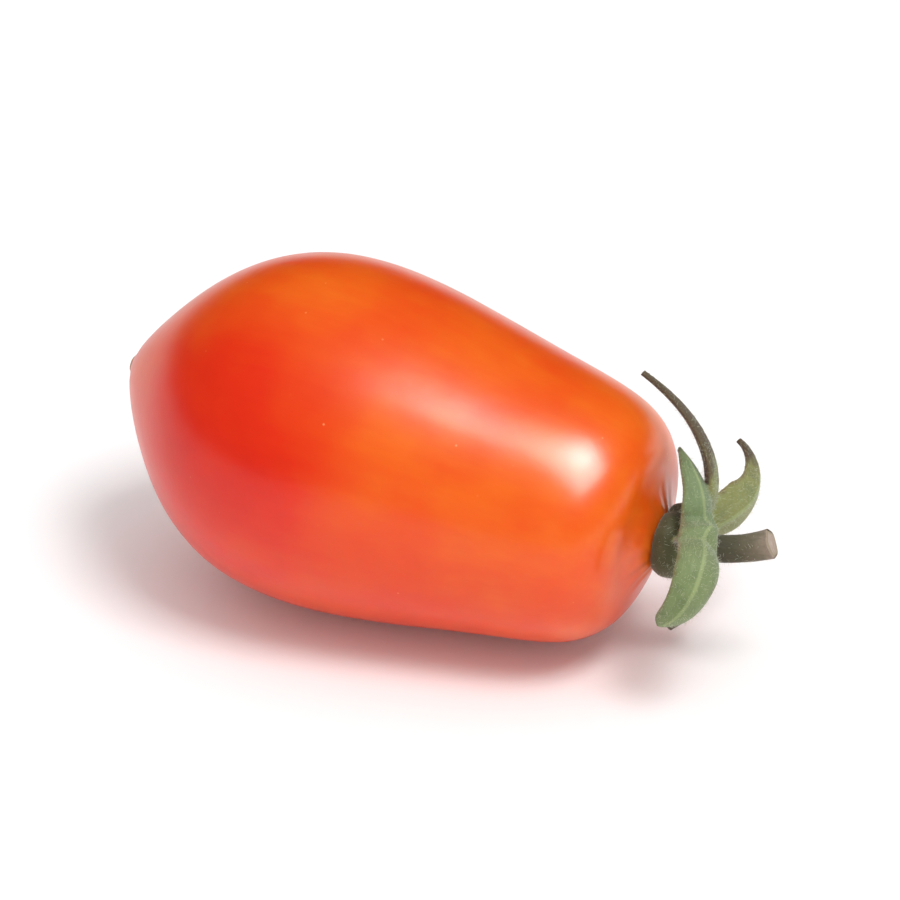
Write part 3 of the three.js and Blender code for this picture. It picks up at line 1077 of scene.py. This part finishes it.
def calyx_material():
    """Dull green leaf: paler ribs, brown edges, dry brown tips. It is darker towards the fruit, where the
    inner sides and the hub carry painted shade, nearly black.
    """
    material, tree, shader, place = new_material("calyx leaf")
    share, across, outer = mark(tree, "along"), mark(tree, "across"), mark(tree, "outer")
    tone, dryness = mark(tree, "tone"), mark(tree, "dryness")
    aside = calculate("ABSOLUTE", across)
    patches = noise(tree, place, LEAF_PATCH_SIZE, detail=4.0, roughness=0.6)
    grain = noise(tree, place, LEAF_GRAIN_SIZE, detail=2.0)
    threads = noise(tree, joined(tree, across * 9, share * 7, tone * 20), 1.0, detail=2.0)

    colour = mixed(tree, tone, SAGE, OLIVE)
    colour = mixed(tree, ranged(share, 0.22, 0.0) * 0.55, colour, LEAF_ROOT_COLOUR)
    colour = mixed(tree, ranged(patches, 0.45, 0.75) * 0.5, colour, LEAF_PATCH_COLOUR)
    colour = mixed(tree, ranged(threads, 0.5, 0.8) * 0.3, colour, LEAF_THREAD_COLOUR)
    rib = ranged(aside, 0.16, 0.03) * ranged(outer, 0.0, 0.5)
    colour = mixed(tree, rib * 0.5, colour, MIDRIB_COLOUR)
    # painted shade: the inner sides and the hub go nearly black towards the fruit
    colour = mixed(tree, ranged(outer, 0.1, -0.5) * 0.9, colour, INNER_SIDE_PAINTED_SHADE)
    worn_edge = ranged(aside + (patches - 0.5) * 0.35, 0.86, 1.02) * ranged(share, 0.12, 0.3)
    colour = mixed(tree, worn_edge * 0.6, colour, WORN_EDGE_COLOUR)
    dry = ranged(share + (patches - 0.5) * 0.4 + dryness * 0.62, 1.0, 1.28)
    colour = mixed(tree, dry * 0.92, colour, mixed(tree, grain, DRY_DARK, DRY_PALE))
    tree.links.new(colour, shader.inputs["Base Color"])

    relief(tree, shader, patches * 0.7 + grain * 0.35 + threads * 0.6 + dry * grain, LEAF_RELIEF)
    feed(tree, 0.62 + patches * 0.2, shader.inputs["Roughness"])
    set_shader(
        shader,
        subsurface_weight=0.1,
        subsurface_radius=(0.4, 0.6, 0.15),
        subsurface_scale=0.6 * MM,
        sheen_weight=0.25,
        sheen_roughness=0.5,
        specular_ior_level=0.3,
    )
    return material


def stalk_material():
    """Dark olive stem. It is darkest at the hub, which is partly painted shade under the sepals, and paler
    towards a dry cut with a darker rim.
    """
    material, tree, shader, place = new_material("stalk")
    x, y, z = split(tree, place)
    share, on_cut, from_middle = mark(tree, "along"), mark(tree, "on_cut"), mark(tree, "from_middle")
    patches = noise(tree, place, STALK_PATCH_SIZE, detail=4.0, roughness=0.6)
    grain = noise(tree, place, STALK_GRAIN_SIZE, detail=2.0)
    fibres = noise(tree, joined(tree, x * FIBRE_SQUEEZE, y, z), FIBRE_SIZE, detail=2.0)
    # painted shade: the ramp darkens the stalk towards the hub, under the sepals
    colour = ramp(tree, share + (patches - 0.5) * 0.3, STALK_COLOURS_AND_ROOT_SHADE)
    colour = mixed(tree, ranged(fibres, 0.45, 0.75) * 0.4, colour, FIBRE_COLOUR)
    face = mixed(tree, grain, CUT_DARK, CUT_PALE)
    ring = ranged(from_middle, 0.6, 0.8) * ranged(from_middle, 1.0, 0.85)
    face = mixed(tree, ring * 0.5, face, CUT_RING_COLOUR)
    face = mixed(tree, ranged(from_middle, 0.3, 0.1) * 0.5, face, CUT_CORE_COLOUR)
    tree.links.new(mixed(tree, on_cut, colour, face), shader.inputs["Base Color"])
    relief(tree, shader, patches * 0.6 + grain * 0.4 + fibres, STALK_RELIEF)
    feed(tree, 0.68 + patches * 0.15, shader.inputs["Roughness"])
    set_shader(shader, sheen_weight=0.2, sheen_roughness=0.5, specular_ior_level=0.3)
    return material


def hair_material():
    """Pale, half see-through looking hairs."""
    material, tree, shader, place = new_material("plant hair")
    shade = noise(tree, place, HAIR_SHADE_SIZE, detail=1.0)
    tree.links.new(mixed(tree, shade, HAIR_DARK, HAIR_PALE), shader.inputs["Base Color"])
    feed(tree, 0.45 + shade * 0.15, shader.inputs["Roughness"])
    set_shader(shader, subsurface_weight=0.3, subsurface_radius=(1.0, 1.0, 0.7), subsurface_scale=0.1 * MM)
    return material


def table_material():
    """Plain white table."""
    material = bpy.data.materials.new("white table")
    material.use_nodes = True
    tree = material.node_tree
    shader = tree.nodes["Principled BSDF"]
    coordinates = add(tree, "ShaderNodeTexCoord")
    shade = noise(tree, coordinates.outputs["Object"], TABLE_SHADE_SIZE)
    tree.links.new(mixed(tree, shade, TABLE_DARK, TABLE_PALE), shader.inputs["Base Color"])
    set_shader(shader, roughness=0.6, specular_ior_level=0.3)
    return material


# Stage


def make_table():
    corners = [(x * TABLE_REACH, y * TABLE_REACH, 0) for x, y in ((-1, -1), (1, -1), (1, 1), (-1, 1))]
    mesh = bpy.data.meshes.new("table")
    mesh.from_pydata(corners, [], [(0, 1, 2, 3)])
    mesh.materials.append(table_material())
    table = bpy.data.objects.new("table", mesh)
    bpy.context.scene.collection.objects.link(table)


def facing_fruit(azimuth, elevation):
    """Right, up and back of a camera or light that looks at the fruit."""
    azimuth, elevation = math.radians(azimuth), math.radians(elevation)
    flat = math.cos(elevation)
    back = Vector((math.sin(azimuth) * flat, -math.cos(azimuth) * flat, math.sin(elevation)))
    right = Vector((math.cos(azimuth), math.sin(azimuth), 0))
    return right, back.cross(right), back


def set_down(right, up, back, position):
    """Matrix of a camera or light with these axes."""
    turn = Matrix((right, up, back)).transposed().to_4x4()
    return Matrix.Translation(position) @ turn


def make_camera():
    right, up, back = facing_fruit(CAMERA_AZIMUTH, CAMERA_ELEVATION)
    target = (PLACE.to_translation() + right * FRAME_RIGHT + up * FRAME_UP) * MM
    camera = bpy.data.objects.new("camera", bpy.data.cameras.new("camera"))
    bpy.context.scene.collection.objects.link(camera)
    camera.data.sensor_width = SENSOR_WIDTH
    camera.data.lens = SENSOR_WIDTH * CAMERA_DISTANCE / FRAME_WIDTH
    camera.data.clip_start = NEAREST_SEEN * MM
    camera.data.clip_end = FARTHEST_SEEN * MM
    camera.matrix_world = set_down(right, up, back, target + back * CAMERA_DISTANCE * MM)
    bpy.context.scene.camera = camera


def make_softbox(name, azimuth, elevation, distance, width, height, power, mirrored=False, lights=True):
    right, up, back = facing_fruit(azimuth, elevation)
    light = bpy.data.lights.new(name, "AREA")
    light.shape = "RECTANGLE"
    light.size = width
    light.size_y = height
    light.energy = power
    lamp = bpy.data.objects.new(name, light)
    bpy.context.scene.collection.objects.link(lamp)
    lamp.matrix_world = set_down(right, up, back, back * distance)
    lamp.visible_glossy = mirrored
    lamp.visible_diffuse = lights


def make_light():
    for name, softbox in SOFTBOXES.items():
        make_softbox(name, **softbox)
    world = bpy.data.worlds.new("dim room")
    world.use_nodes = True
    background = world.node_tree.nodes["Background"]
    background.inputs["Color"].default_value = (1, 1, 1, 1)
    background.inputs["Strength"].default_value = ROOM_LIGHT
    world.cycles_visibility.glossy = False
    bpy.context.scene.world = world
    bpy.context.scene.view_settings.view_transform = "Standard"


make_camera()
make_light()
make_table()

make_fruit(skin_material())

leaf = calyx_material()
front_band = bridge_shell(SEPALS["upper front"], SEPALS["lower front"])
calyx_shells = [hub_shell(), front_band] + [sepal_shell(sepal) for sepal in SEPALS.values()]
calyx_mesh = grown_together("calyx_leaves", calyx_shells, leaf)
lay_down(calyx_mesh)
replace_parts(piece("calyx_leaves", calyx_mesh), "calyx")

stalk_mesh = shell_mesh("cut_stalk", [stalk_shell()], stalk_material())
lay_down(stalk_mesh)
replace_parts(piece("cut_stalk", stalk_mesh), "stalk")

pale_hair = hair_material()
make_hairs("calyx_hairs", calyx_mesh, CALYX_HAIRS_PER_MM2, CALYX_HAIR_SEED, pale_hair)
make_hairs("stalk_hairs", stalk_mesh, STALK_HAIRS_PER_MM2, STALK_HAIR_SEED, pale_hair)
